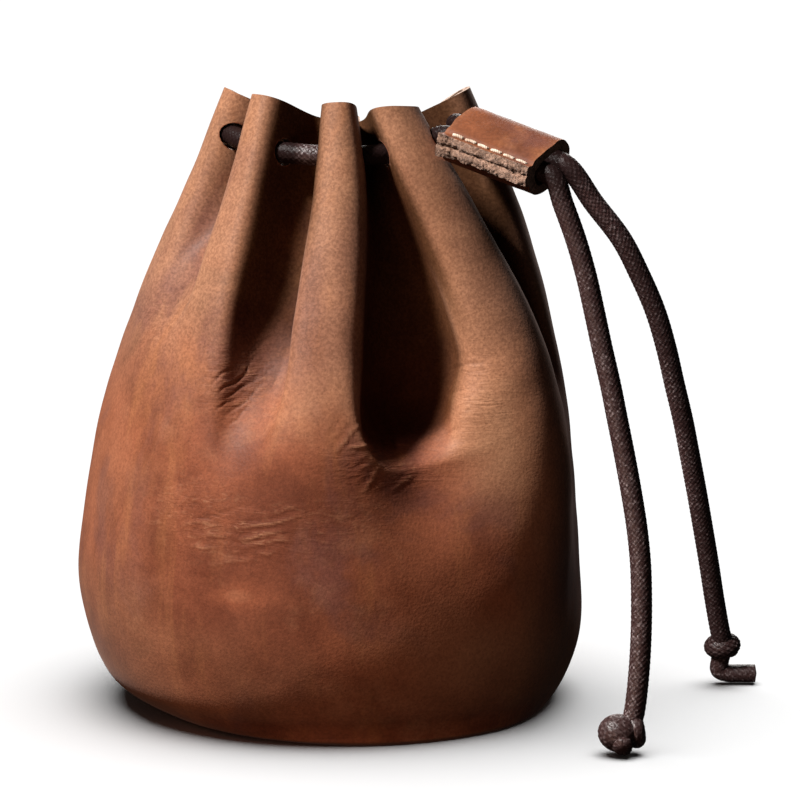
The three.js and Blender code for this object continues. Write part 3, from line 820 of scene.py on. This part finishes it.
class POUCH_OT_stage(bpy.types.Operator):
    """Set up the camera, the studio light and the pale floor"""
    bl_idname = "pouch.stage"
    bl_label = "Stage"

    def execute(self, context):
        scene = context.scene
        camera_data = bpy.data.cameras.new("camera")
        camera_data.sensor_width = 36.0
        camera_data.lens = CAMERA_LENS
        camera_data.clip_start = 0.05
        camera_data.clip_end = 40.0
        camera = new_object("camera", camera_data)
        camera.location = CAMERA_PLACE
        camera.rotation_euler = (math.radians(90 - CAMERA_DOWN), 0, 0)
        scene.camera = camera

        for group in (KEY_DARK_PIECES, CARD_DARK_PIECES, CORD_LIGHT_PIECES):
            bpy.data.collections.new(group)
        for name, place, spot, size, energy, colour, group in LAMPS:
            light = bpy.data.lights.new(name, "AREA")
            light.size = size
            light.energy = energy
            light.color = colour
            lamp = new_object(name, light)
            lamp.location = place
            lamp.rotation_euler = (Vector(place) - Vector(spot)).to_track_quat("Z", "Y").to_euler()
            lamp.visible_camera = False
            lamp.light_linking.receiver_collection = bpy.data.collections[group]
        cord_light = bpy.data.objects["cord_light"].light_linking
        cord_light.blocker_collection = cord_light.receiver_collection

        world = bpy.data.worlds.new("studio")
        world.use_nodes = True
        tree = world.node_tree
        soft = tree.nodes["Background"]
        fill(tree, soft, {"Color": (1.0, 0.97, 0.94), "Strength": 0.02})
        white = add(tree, "ShaderNodeBackground", {"Color": (1.0, 1.0, 1.0), "Strength": 1.0})
        seen = add(tree, "ShaderNodeLightPath", {}).outputs["Is Camera Ray"]
        both = add(tree, "ShaderNodeMixShader", {0: seen, 1: soft.outputs[0], 2: white.outputs[0]})
        tree.links.new(both.outputs[0], tree.nodes["World Output"].inputs["Surface"])
        scene.world = world
        scene.view_settings.view_transform = "Standard"

        floor_mesh = bpy.data.meshes.new("floor")
        corners = [(x * FLOOR_HALF, y * FLOOR_HALF, 0) for x, y in ((-1, -1), (1, -1), (1, 1), (-1, 1))]
        floor_mesh.from_pydata(corners, [], [(0, 1, 2, 3)])
        material, tree, shader, place = new_material("pale_floor")
        tone = reckoned(tree, clouds(tree, place, 3.0, 2.0), 0.04)
        fill(tree, shader, {
            "Base Color": blended(tree, tone, scene.pouch_colours.floor, (0.8, 0.8, 0.8)),
            "Roughness": 0.9,
            "Specular IOR Level": 0.1,
        })
        floor_mesh.materials.append(material)
        floor = new_object("floor", floor_mesh)
        floor.visible_diffuse = False
        floor.visible_glossy = False

        sun = bpy.data.lights.new("floor_light", "SUN")
        sun.energy = SUN_STRENGTH
        sun.angle = math.radians(SUN_SPREAD)
        lit = bpy.data.collections.new("lit_by_floor_light")
        lit.objects.link(floor)
        new_object("floor_light", sun).light_linking.receiver_collection = lit
        for group in (KEY_DARK_PIECES, CARD_DARK_PIECES):
            leave_unlit(floor, group)
        return {"FINISHED"}


class POUCH_OT_cords(bpy.types.Operator):
    """Braid the drawstring: the loop round the mouth and the two free ends"""
    bl_idname = "pouch.cords"
    bl_label = "Cords"

    def execute(self, context):
        cord = context.scene.pouch_sizes.cord / MM
        material = waxed_cord("waxed_cord", context.scene.pouch_colours)
        for name, way, node in (
            ("cord_loop", loop_way(cord), "drawstring_loop"),
            ("cord_end_front", end_way(1, FRONT_WAY, cord), "drawstring_end_front"),
            ("cord_end_side", end_way(0, SIDE_WAY, cord), "drawstring_end_side"),
        ):
            line = even_line(way, BRAID_STEP)
            points, faces, relief = tube(line, cord / 2, BRAID_AROUND, braided=True)
            x, y, _ = points.T
            # Painted shadow: the braid's relief, and with it the cord's pale colour, wax and gloss, is turned
            # down where the cord is painted dark
            if node == "drawstring_loop":
                unshaded_stretch = smoothstep(x, *LOOP_UNSHADED_STARTS) * (1 - smoothstep(x, *LOOP_UNSHADED_ENDS))
                unshaded = lerp(1, unshaded_stretch, smoothstep(-y, *LOOP_FRONT))
            else:
                unshaded = smoothstep(np.linalg.norm(points - SLIDER_OUTER, axis=1), *END_UNSHADED_STARTS)
            relief = relief * lerp(PAINTED_SHADOW_SHARE, 1, unshaded)
            mesh = new_mesh(name, points, faces, [("relief", relief)])
            piece = new_piece(name, mesh, [material], "cord", node)
            if node == "drawstring_end_side":
                bpy.data.collections[CORD_LIGHT_PIECES].objects.link(piece)
        return {"FINISHED"}


class POUCH_OT_knots(bpy.types.Operator):
    bl_idname = "pouch.knots"
    bl_label = "Knots"

    def execute(self, context):
        cord = context.scene.pouch_sizes.cord / MM
        material = bpy.data.materials["waxed_cord"]
        for name, knot in KNOTS.items():
            lobe = wound_ball(knot["middle"], knot["halves"], math.radians(knot["lean"]))
            round_about = np.linspace(0, 2 * np.pi, LAP_STEPS, endpoint=False)
            line = knot["ring"] * np.column_stack((np.cos(round_about), np.sin(round_about), 0 * round_about))
            tilt = np.array(Euler([math.radians(part) for part in knot["turn"]]).to_matrix())
            line = line @ tilt.T + np.array(knot["lap"])
            lap = tube(line, knot["cord"], LAP_AROUND, braided=True, closed=True)
            line = even_line(knot["tail"], BRAID_STEP)
            tail = tube(line, cord * TAIL_SHARE, TAIL_AROUND, braided=True, dome=TAIL_DOME)
            points, faces, relief = joined(lobe, lap, tail)
            mesh = new_mesh(name + "_turns", points, faces, [("relief", relief)])
            piece = new_piece(name + "_turns", mesh, [material], "cord", name)
            if name == "knot_side":
                bpy.data.collections[CORD_LIGHT_PIECES].objects.link(piece)
        for side, (name, way, length) in enumerate((
            ("side", SIDE_WAY, SIDE_LENGTH), ("front", FRONT_WAY, FRONT_LENGTH),
        )):
            line = even_line(end_way(side, way, cord), PATH_STEP) * MM
        return {"FINISHED"}


class POUCH_OT_slider(bpy.types.Operator):
    """Fold and sew the leather slider round both cords"""
    bl_idname = "pouch.slider"
    bl_label = "Slider"

    def execute(self, context):
        sizes = context.scene.pouch_sizes
        colours = context.scene.pouch_colours
        cord = sizes.cord / MM
        outer, kinds, seam = self.section(cord, sizes.slider_leather / MM)
        half = (cord + SLIDER_ROOM) / 2
        nearest = np.column_stack((np.clip(outer[:, 0], -half, half), np.zeros(len(outer))))
        away = unit(outer - nearest)
        inner = nearest + (cord / 2 + SLIDER_ROOM) * away

        points, wear = [], []
        for share in np.linspace(0, 1, SLIDER_ROWS + 1):
            near_end = abs(2 * share - 1)
            for skin, loop in enumerate((outer, inner)):
                for (x, y), out, kind in zip(loop, away, kinds):
                    push = 0.0 if skin else self.raggedness(x, y, share, kind)
                    cut = Vector((x * END_SLIP_SCALE, y * END_SLIP_SCALE, 7.0 + 5 * round(share)))
                    z = share * SLIDER_LENGTH + near_end ** 6 * noise.noise(cut) * END_SLIP
                    points.append(self.placed(x + out[0] * push, y + out[1] * push, z))
                    wear.append(0.0 if skin else 0.1 + 0.7 * near_end ** 14)
        count = len(outer)
        last = SLIDER_ROWS * 2 * count
        skins = [2 if kind == after == "raw" else 0 for kind, after in zip(kinds, kinds[1:] + kinds[:1])]
        faces, slots = [], []
        for here in range(0, last, 2 * count):
            there = here + 2 * count
            faces += band(there, here, count) + band(here + count, there + count, count)
            slots += skins + [1] * count
        faces += band(0, count, count) + band(last + count, last, count)
        slots += [2] * 2 * count
        mesh = new_mesh("slider_strip", points, faces, [("wear", wear)])
        materials = [
            grain_leather("slider_grain", colours.slider_deep, colours.slider_warm, colours.slider_warm,
                          colours.slider_worn, (0.3, 0.1, 0.2)),
            rough_leather("slider_flesh", colours.flesh_side, (0.12, 0.06, 0.035), 900.0, 0.0005),
            rough_leather("slider_raw_edge", colours.slider_edge, (0.15, 0.06, 0.03), 1500.0, 0.0009),
        ]
        mesh.polygons.foreach_set("material_index", slots)
        mesh.set_sharp_from_angle(angle=math.radians(SLIDER_SHARP))
        piece = new_piece("slider_strip", mesh, materials, "slider_leather", "cord_slider")
        leave_unlit(piece, CARD_DARK_PIECES)
        self.stitches(sizes, colours, seam)
        return {"FINISHED"}

    def raggedness(self, x, y, share, kind):
        """How far the strip's outside stands out, most where its raw edges fray."""
        place = Vector([UNEVEN_SCALE * part for part in (x, y, share * SLIDER_LENGTH)])
        grain, fine, broad = (
            noise.noise(place * scale) * height for scale, height in (UNEVEN_GRAIN, FINE_FRAY, BROAD_FRAY))
        if kind == "grain":
            return grain
        inner_end = INNER_END_FRAY * max(0.0, 1 - INNER_END_REACH * share) ** 2
        return abs(fine) + broad + inner_end + LEAST_FRAY

    def placed(self, x, y, z):
        """Point of the slider's own section and length, in the pouch's frame."""
        return SLIDER_INNER + SLIDER_FOLD_SIDE * x + SLIDER_TOP * y + SLIDER_AXIS * z

    def section(self, cord, leather):
        """Outline of the folded strip, what each point of it is, and where the seam runs."""
        channel = cord / 2 + SLIDER_ROOM
        half = channel + leather
        fold = (cord + SLIDER_ROOM) / 2
        top = half - SLIDER_SLOPE
        bottom = top - 2 * leather
        edge_turn = math.pi + math.asin(-bottom / half)
        edge = -fold + half * math.cos(edge_turn)
        seam = np.array((edge + SEAM_INSET, lerp(top, half, SEAM_INSET / (-fold - edge))))
        outline, kinds = [], []

        def place(x, y, kind):
            outline.append((x, y))
            kinds.append(kind)

        for share in np.linspace(0, 1, 15):
            notch = EDGE_NOTCH * math.exp(-((share - 0.5) / NOTCH_WIDTH) ** 2)
            swell = EDGE_SWELL * math.sin(2 * math.pi * share) ** 2
            place(edge + notch - swell - EDGE_LEAN * share, lerp(top, bottom, share), "raw")
        for turn in np.linspace(edge_turn, 1.5 * math.pi, 13)[1:]:
            place(-fold + half * math.cos(turn), half * math.sin(turn), "grain")
        for share in np.linspace(0, 1, 6)[1:-1]:
            place(lerp(-fold, fold, share), -half, "grain")
        for turn in np.linspace(-math.pi / 2, math.pi / 2, 25):
            place(fold + half * math.cos(turn), half * math.sin(turn), "grain")
        for share in np.linspace(0, 1, 8)[1:]:
            place(lerp(fold, -fold, share), half, "grain")
        for share in np.linspace(0, 1, 16)[1:-1]:
            x = lerp(-fold, edge, share)
            groove = SEAM_GROOVE * math.exp(-((x - seam[0]) / SEAM_WIDTH) ** 2)
            place(x, lerp(half, top, share) - groove, "grain")
        return np.array(outline), kinds, seam

    def stitches(self, sizes, colours, seam):
        """Row of pale stitches along the raw edges."""
        shapes = []
        count = int((SLIDER_LENGTH - 2 * STITCH_FIRST) / STITCH_STEP)
        for index in range(count + 1):
            start = STITCH_FIRST + index * STITCH_STEP
            wander = STITCH_WANDER * math.sin(2.4 * index)
            line = []
            for share in np.linspace(0, 1, 9):
                x = seam[0] + wander * share
                y = seam[1] + STITCH_BOW * math.sin(math.pi * share) - STITCH_SINK - STITCH_FALL * index
                line.append(self.placed(x, y, start + STITCH_LENGTH * share))
            shapes.append(tube(np.array(line), sizes.thread / MM / 2, STITCH_AROUND, dome=STITCH_DOME))
        points, faces, _ = joined(*shapes)
        mesh = new_mesh("slider_stitches", points, faces)
        new_piece("slider_stitches", mesh, [sewing_thread("sewing_thread", colours)], "thread")


# Gathered body

def fold_columns():
    """Table of the mesh's columns round the pouch: the fold and flank that each one belongs to."""
    table = []
    for index, pleat in enumerate(PLEATS):
        after = PLEATS[(index + 1) % len(PLEATS)]
        lap = 360 if after["ridge_rim"] < pleat["ridge_rim"] else 0
        low = (pleat["top"] + after["top"]) / 2 - RIM_DIP
        steps = pleat["steps"]
        fold = [pleat[key] for key in FOLD_KEYS]
        near = [pleat["ridge_foot"], pleat["ridge_rim"], pleat["top"], low, GENTLE_STEEP,
                *(pleat["near_" + key] for key in FLANK_KEYS)]
        far = [after["ridge_foot"] + lap, after["ridge_rim"] + lap, after["top"], low, OVERHUNG_STEEP,
               *(pleat["far_" + key] for key in FLANK_KEYS)]
        table += [[1 - step / steps] + fold + near for step in range(steps)]
        table += [[step / steps] + fold + far for step in range(steps)]
    return np.array(table).T[:, None, :]


def swelling(angle, height):
    """How far the filled pouch stands out of its round outline, in millimetres."""
    total = 0 * angle
    for middle, level, wide, tall, amount in SWELLINGS:
        aside = (np.degrees(angle) - middle + 180) % 360 - 180
        total = total + amount * np.exp(-(aside / wide) ** 2 - ((height - level) / tall) ** 2)
    return total


def gathered_face():
    """Outer face as points[row, column] from the rim down to the flat of the base, in millimetres."""
    line = smooth_line(OUTLINE)
    reach = along(line)
    fine = np.linspace(0, reach[-1], 2000)
    level = np.interp(fine, reach, line[:, 2])
    rows = np.cumsum(np.interp(level, *np.array(ROW_DENSITY).T))
    places = np.interp(np.linspace(rows[-1], rows[0], OUTER_ROWS + 1), rows, fine)
    radius, lean, height = (np.interp(places, reach, line[:, axis])[:, None] for axis in range(3))
    (share, fold_foot, fold_half, fold_rim, foot, opening, deepest, early,
     ridge_foot, ridge_rim, top, low, steep, flank_foot, flank_rim, dark, edge, edge_top) = fold_columns()
    turn = np.clip((height - TURN_START) / (HEIGHT - TURN_START), 0, 1) ** TURN_POWER
    above = np.maximum(height - TAPER * share ** 2 - foot, 0)
    depth = deepest * smoothstep(above, 0, opening) * lerp(early, 1, above / (HEIGHT - foot))
    opened = depth / (depth + CRISP)
    swell = 0.5 - 0.5 * np.cos(np.pi * share)
    shift = opened * (lerp(flank_foot, flank_rim, turn) - 0.5)
    across = (share + opened * steep * np.sin(2 * np.pi * share) / (2 * np.pi)
              + shift * np.sin(np.pi * share))
    drift = smoothstep(height, foot, np.maximum(TURN_START, foot + DRIFT))
    fold_angle = lerp(lerp(fold_foot, fold_half, drift), fold_rim, turn)
    angle = np.radians(lerp(fold_angle, lerp(ridge_foot, ridge_rim, turn), across))
    sunk = depth * (1 - swell)
    reach_out = radius + swelling(angle, height) - sunk
    forward = BASE_FORWARD * np.maximum(1 - height / BASE_ROUND, 0) ** 2
    x = lean + reach_out * np.sin(angle)
    y = -reach_out * np.cos(angle) - forward
    z = height + (lerp(low, top, swell) - HEIGHT) * (height / HEIGHT) ** RIM_POWER
    # Painted shade down in the folds: each point darkens with its depth, and near the mouth also past the
    # flanks' edge depths
    gathered = smoothstep(height, edge_top - EDGE_RISE, edge_top)
    painted_shade = np.maximum(smoothstep(sunk, dark, dark + DARK_FADE),
                          smoothstep(sunk, edge, edge + EDGE_FADE) * gathered)
    return np.dstack((x, y, z)), angle, height + 0 * angle, painted_shade


def face_normals(points):
    """Outward normals of a grid of points that closes round its columns."""
    across = np.roll(points, -1, axis=1) - np.roll(points, 1, axis=1)
    down = np.gradient(points, axis=0)
    return unit(np.cross(down, across))


def crease_line(across, up, first, last, width):
    """Share of a groove at each point, and of the lips beside it, for one wandering line."""
    first, last = np.array(first), np.array(last)
    length = np.linalg.norm(last - first)
    ahead = (last - first) / length
    share = ((across - first[0]) * ahead[0] + (up - first[1]) * ahead[1]) / length
    aside = (across - first[0]) * -ahead[1] + (up - first[1]) * ahead[0]
    aside = aside + 0.3 * np.sin(5.1 * share + first[0]) + 0.12 * np.sin(13.0 * share + first[1])
    taper = np.where((share > 0) & (share < 1), np.sin(np.pi * np.clip(share, 0, 1)) ** 0.7, 0)
    groove = np.exp(-(aside / width) ** 2) * taper
    lips = sum(np.exp(-((aside + side * LIP_ASIDE * width) / (LIP_WIDTH * width)) ** 2) for side in (-1, 1))
    return groove, lips * taper


def seen_level(points):
    """Height at which the eye sees each point level with the belly's front."""
    return points[:, :, 2] + LOOK_DOWN * (points[:, :, 1] + FRONT)


def crease_field(points, angle, height):
    """Depth of the creases, below zero where the leather stands up, and the strongest line at each point."""
    lines = []
    front = points[:, :, 1] < -FRONT_START
    level = seen_level(points)
    for x0, z0, x1, z1, width, depth in CREASES:
        groove, lips = crease_line(points[:, :, 0], level, (x0, z0), (x1, z1), width)
        lines.append((groove * front, lips * front, depth))
    around = np.radians((np.degrees(angle) + 180) % 360 - 180) * FRONT
    rng = np.random.default_rng(11)
    for pleat in PLEATS:
        middle = (pleat["fold_foot"] + 180) % 360 - 180
        if abs(middle) < HIDDEN_FROM:
            continue
        for _ in range(HIDDEN_CREASES):
            way = math.radians(rng.uniform(25, 50) * (1 if pleat["fold_foot"] > -90 else -1))
            start = math.radians(middle) * FRONT + rng.uniform(-5, 5)
            first = np.array((start, pleat["foot"] + rng.uniform(2, 16)))
            last = first + rng.uniform(3, 8) * np.array((math.cos(way), math.sin(way)))
            groove, lips = crease_line(around, height, first, last, rng.uniform(0.6, 0.8))
            lines.append((groove, lips, rng.uniform(0.1, 0.18)))
    field = np.zeros_like(height)
    mark = np.zeros_like(height)
    for groove, lips, depth in lines:
        field += depth * (groove - LIP_SHARE * lips)
        mark = np.where(np.abs(groove * depth) > np.abs(mark), groove * depth, mark)
    return field, mark


def seen_in_front(points, places, start=0):
    """How strongly each point of the front has what a table of places gives."""
    level = seen_level(points)
    front = smoothstep(-points[:, :, 1], start, start + 12)
    amounts = np.zeros(points.shape[:2])
    for x, z, wide, tall, amount in places:
        amounts += amount * front * np.exp(-((points[:, :, 0] - x) / wide) ** 2 - ((level - z) / tall) ** 2)
    return amounts


def rounded_out(points, normals, reach):
    """How far each point stands out of its surroundings, in millimetres."""
    mean = np.zeros_like(points)
    padded = np.pad(points, ((reach, reach), (0, 0), (0, 0)), mode="edge")
    for step in range(-reach, reach + 1):
        mean += np.roll(points, step, axis=1)
        mean += padded[reach + step:reach + step + len(points)]
    mean /= 2 * (2 * reach + 1)
    return np.einsum("rcx,rcx->rc", points - mean, normals)


class POUCH_OT_body(bpy.types.Operator):
    """Gather the leather body, crease it, and punch the cord holes"""
    bl_idname = "pouch.body"
    bl_label = "Body"

    def execute(self, context):
        sizes = context.scene.pouch_sizes
        colours = context.scene.pouch_colours
        outer, angle, height, fold = gathered_face()
        normals = face_normals(outer)
        field, mark = crease_field(outer, angle, height)
        # Painted shadow of the slider on the fold beside it
        slider_shadow = seen_in_front(outer, SLIDER_SHADOW_PLACES, SLIDER_SHADOW_START)
        fields = {
            # Rubbed and oiled places of the front, mixed with painted highlight and painted shade
            "tone": seen_in_front(outer, WORN_AND_LIT_PLACES),
            "pucker": seen_in_front(outer, PUCKERED_PLACES),
            "slack": seen_in_front(outer, SLACK_PLACES),
            "gather": (GATHERED_SHARE * smoothstep(height, *GATHERED_FROM)
                       * (1 - seen_in_front(outer, WARM_PLACES))),
            # Painted shade down in the folds, together with the painted shadow of the slider
            "fold": np.clip(np.maximum(fold, slider_shadow), 0, 1),
            "crease": mark / CREASE_FULL,
        }
        lumps = np.array([
            noise.noise(Vector(point) / DENT_BROAD)
            + DENT_SHARE * noise.noise(Vector(point) / DENT_SMALL + Vector((9, 4, 2)))
            for point in outer.reshape(-1, 3)]).reshape(height.shape)
        uneven = smoothstep(height, *DENTS_GROW) * (1 - FADED_SHARE * smoothstep(height, *DENTS_FADE))
        outer = outer + normals * (uneven * (sizes.dents / MM * lumps - sizes.creases * field))[:, :, None]
        rows, columns = height.shape
        ragged = np.array([
            noise.noise(Vector((3 * math.sin(turn), 3 * math.cos(turn), 5.0))) for turn in angle[0]])
        outer[:, :, 2] += RAGGED_RIM * ragged[None, :] * smoothstep(height, *RAGGED_FROM)
        outer[:, :, 2] = np.maximum(outer[:, :, 2], 0)
        normals = face_normals(outer)
        wear = np.clip(rounded_out(outer, normals, WEAR_REACH) / WEAR_FULL, -1, 1)
        fields["wear"] = np.maximum(wear, RIM_WORN * smoothstep(height, *RIM_WORN_FROM))
        leather = sizes.leather / MM

        chosen = np.unique(np.append(np.arange(0, rows, INNER_EVERY), rows - 1))
        inner = outer[chosen] - leather * normals[chosen]
        inner[-1] = outer[-1] + (0, 0, leather)
        base = np.array((OUTLINE[0][1], -BASE_FORWARD, 0.0))
        shares = 1 - np.arange(1, BASE_RINGS) / BASE_RINGS
        flat = np.array([base + (outer[-1] - base) * share for share in shares])
        points = np.vstack((
            outer.reshape(-1, 3), flat.reshape(-1, 3), base[None, :],
            inner.reshape(-1, 3), base[None, :] + (0, 0, leather)))
        outer_rows = rows + len(flat)
        inner_start = outer_rows * columns + 1
        inner_rows = len(inner)

        faces, slots = [], []

        def cover(new_faces, slot):
            faces.extend(new_faces)
            slots.extend([slot] * columns)

        for row in range(outer_rows - 1):
            cover(band(row * columns, (row + 1) * columns, columns, flip=True), 0)
        for row in range(inner_rows - 1):
            here = inner_start + row * columns
            cover(band(here + columns, here, columns, flip=True), 1)
        cover(band(inner_start, 0, columns, flip=True), 2)
        middle = outer_rows * columns
        cover(fan(middle - columns, middle, columns, flip=True), 0)
        middle = inner_start + inner_rows * columns
        cover(fan(middle - columns, middle, columns), 1)

        rest = np.zeros(len(points) - rows * columns)
        mesh = new_mesh("pouch_leather", points, faces, [
            (key, np.append(values.ravel(), rest)) for key, values in fields.items()])
        mesh.polygons.foreach_set("material_index", slots)
        materials = [
            grain_leather("pouch_grain", colours.leather_deep, colours.leather_warm, colours.leather_gathered,
                          colours.leather_worn_and_lit),
            rough_leather("pouch_flesh", colours.flesh_side, (0.13, 0.065, 0.035), 700.0, 0.0005),
            rough_leather("pouch_cut_edge", colours.cut_edge, (0.2, 0.1, 0.06), 1100.0, 0.0005),
        ]
        piece = new_piece("pouch_leather", mesh, materials, "pouch_leather", "pouch_body")
        self.punch(piece, sizes)
        piece.data.set_sharp_from_angle(angle=math.radians(SHARP_FOLD))
        return {"FINISHED"}

    def punch(self, piece, sizes):
        """Cuts the cord's way through every ridge."""
        line = even_line(loop_way(sizes.cord / MM), HOLE_STEP)
        points, faces, _ = tube(line, sizes.hole / MM / 2, HOLE_AROUND)
        mesh = new_mesh("hole_punch", points, faces)
        for material in piece.data.materials:
            mesh.materials.append(material)
        mesh.polygons.foreach_set("material_index", np.full(len(mesh.polygons), 2))
        punch = new_object("hole_punch", mesh)
        cut = piece.modifiers.new("holes", "BOOLEAN")
        cut.operation = "DIFFERENCE"
        cut.solver = "EXACT"
        cut.object = punch
        depsgraph = bpy.context.evaluated_depsgraph_get()
        punched = bpy.data.meshes.new_from_object(piece.evaluated_get(depsgraph))
        piece.modifiers.clear()
        piece.data = punched
        bpy.data.objects.remove(punch)


class POUCH_PT_panel(bpy.types.Panel):
    """Pieces of the pouch and their sizes and colours"""
    bl_label = "Drawstring pouch"
    bl_idname = "POUCH_PT_panel"
    bl_space_type = "VIEW_3D"
    bl_region_type = "UI"
    bl_category = "Pouch"

    def draw(self, context):
        layout = self.layout
        for operator in OPERATORS:
            layout.operator(operator.bl_idname)
        for group in (context.scene.pouch_sizes, context.scene.pouch_colours):
            box = layout.box()
            for key in group.__annotations__:
                box.prop(group, key)


OPERATORS = (POUCH_OT_stage, POUCH_OT_cords, POUCH_OT_knots, POUCH_OT_slider, POUCH_OT_body)
CLASSES = (PouchSizes, PouchColours, *OPERATORS, POUCH_PT_panel)


def register():
    """Makes the pouch's classes and properties known to Blender."""
    for cls in CLASSES:
        bpy.utils.register_class(cls)
    bpy.types.Scene.pouch_sizes = PointerProperty(type=PouchSizes)
    bpy.types.Scene.pouch_colours = PointerProperty(type=PouchColours)


def unregister():
    """Takes the classes and properties away again."""
    del bpy.types.Scene.pouch_colours
    del bpy.types.Scene.pouch_sizes
    for cls in reversed(CLASSES):
        bpy.utils.unregister_class(cls)


def main():
    """Builds the stage and every piece."""
    register()
    bpy.ops.pouch.stage()
    bpy.ops.pouch.cords()
    bpy.ops.pouch.knots()
    bpy.ops.pouch.slider()
    bpy.ops.pouch.body()


if __name__ == "__main__":
    main()
